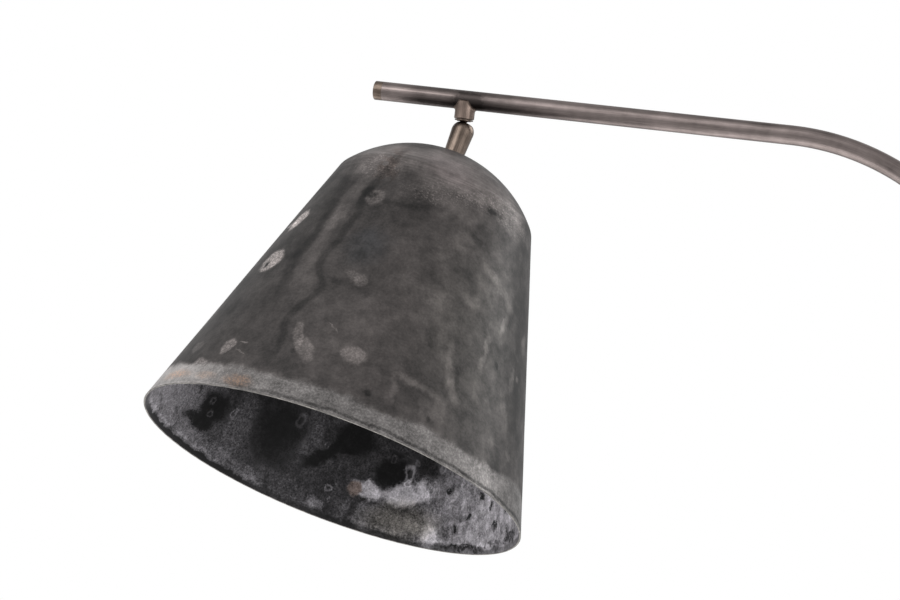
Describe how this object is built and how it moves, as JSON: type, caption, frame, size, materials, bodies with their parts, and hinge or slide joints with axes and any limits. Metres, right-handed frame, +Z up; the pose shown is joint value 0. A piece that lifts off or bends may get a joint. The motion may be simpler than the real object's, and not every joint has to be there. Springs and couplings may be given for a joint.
{
  "type": "arc floor lamp",
  "caption": "Floor lamp with a round weighted base, a slim stem bent into a rising arm and a spun steel bell shade on a ball swivel.",
  "frame": {"origin": "centre of the floor pad's underside, on the stem's axis", "axes": "+Z up along the stem; the arm runs towards -X from the stem"},
  "size_m": [0.7089, 0.3731, 1.4598],
  "materials": {
    "bronzed_steel": "satin",
    "cap_bronze": "satin",
    "shade_steel": "satin",
    "base_steel": "matte",
    "cast_iron": "matte",
    "felt": "matte",
    "zinc": "satin",
    "brass": "satin",
    "rubber": "matte",
    "terminal_plastic": "matte",
    "lead_jacket": "satin",
    "nylon": "satin",
    "holder_black": "satin",
    "porcelain": "gloss",
    "bulb_nickel": "polished",
    "clear_glass": "gloss",
    "filament": "matte"
  },
  "bodies": {
    "stand": {"floor_pad": "felt", "base_weight": "cast_iron", "base_cover": "base_steel", "base_nipple": "brass", "base_washer": "zinc", "base_nut": "zinc", "cord_bush": "rubber", "terminal_block": "terminal_plastic", "terminal_screws": "zinc", "stem_collar": "bronzed_steel", "stem_lower": "bronzed_steel", "stem_joiner": "bronzed_steel", "arm_tube": "bronzed_steel", "arm_end_cap": "cap_bronze", "tee_stub": "bronzed_steel", "stand_lead": "lead_jacket"},
    "swivel_stud": {"ball_stud": "cap_bronze", "lock_ring": "cap_bronze"},
    "swivel_cup": {"friction_cup": "nylon"},
    "head": {"swivel_housing": "cap_bronze", "spring_washers": "zinc", "shade_nipple": "brass", "shade": "shade_steel", "shade_washer": "zinc", "shade_nut": "zinc", "holder_lead": "lead_jacket", "holder_cap": "holder_black", "holder_body": "holder_black", "holder_insert": "porcelain", "holder_screws": "zinc", "holder_thread": "brass", "holder_contact": "brass", "bulb_cap": "bulb_nickel", "bulb_contact": "bulb_nickel", "bulb_glass": "clear_glass", "bulb_stem": "clear_glass", "bulb_filaments": "filament"}
  },
  "joints": [
    {"name": "shade_pan", "type": "hinge", "parent": "stand", "child": "swivel_stud", "pos_m": [-0.37188, 0, 1.42336], "axis": [0.1253, 0, 0.9921], "range_deg": [-175, 175]},
    {"name": "shade_tilt", "type": "hinge", "parent": "swivel_stud", "child": "swivel_cup", "pos_m": [-0.37188, 0, 1.42336], "axis": [-0.9542, 0.274, 0.1205], "range_deg": [-53, 2.8]},
    {"name": "shade_spin", "type": "hinge", "parent": "swivel_cup", "child": "head", "pos_m": [-0.37188, 0, 1.42336], "axis": [0.2288, 0.408, 0.8839], "range_deg": [-175, 175]}
  ]
}
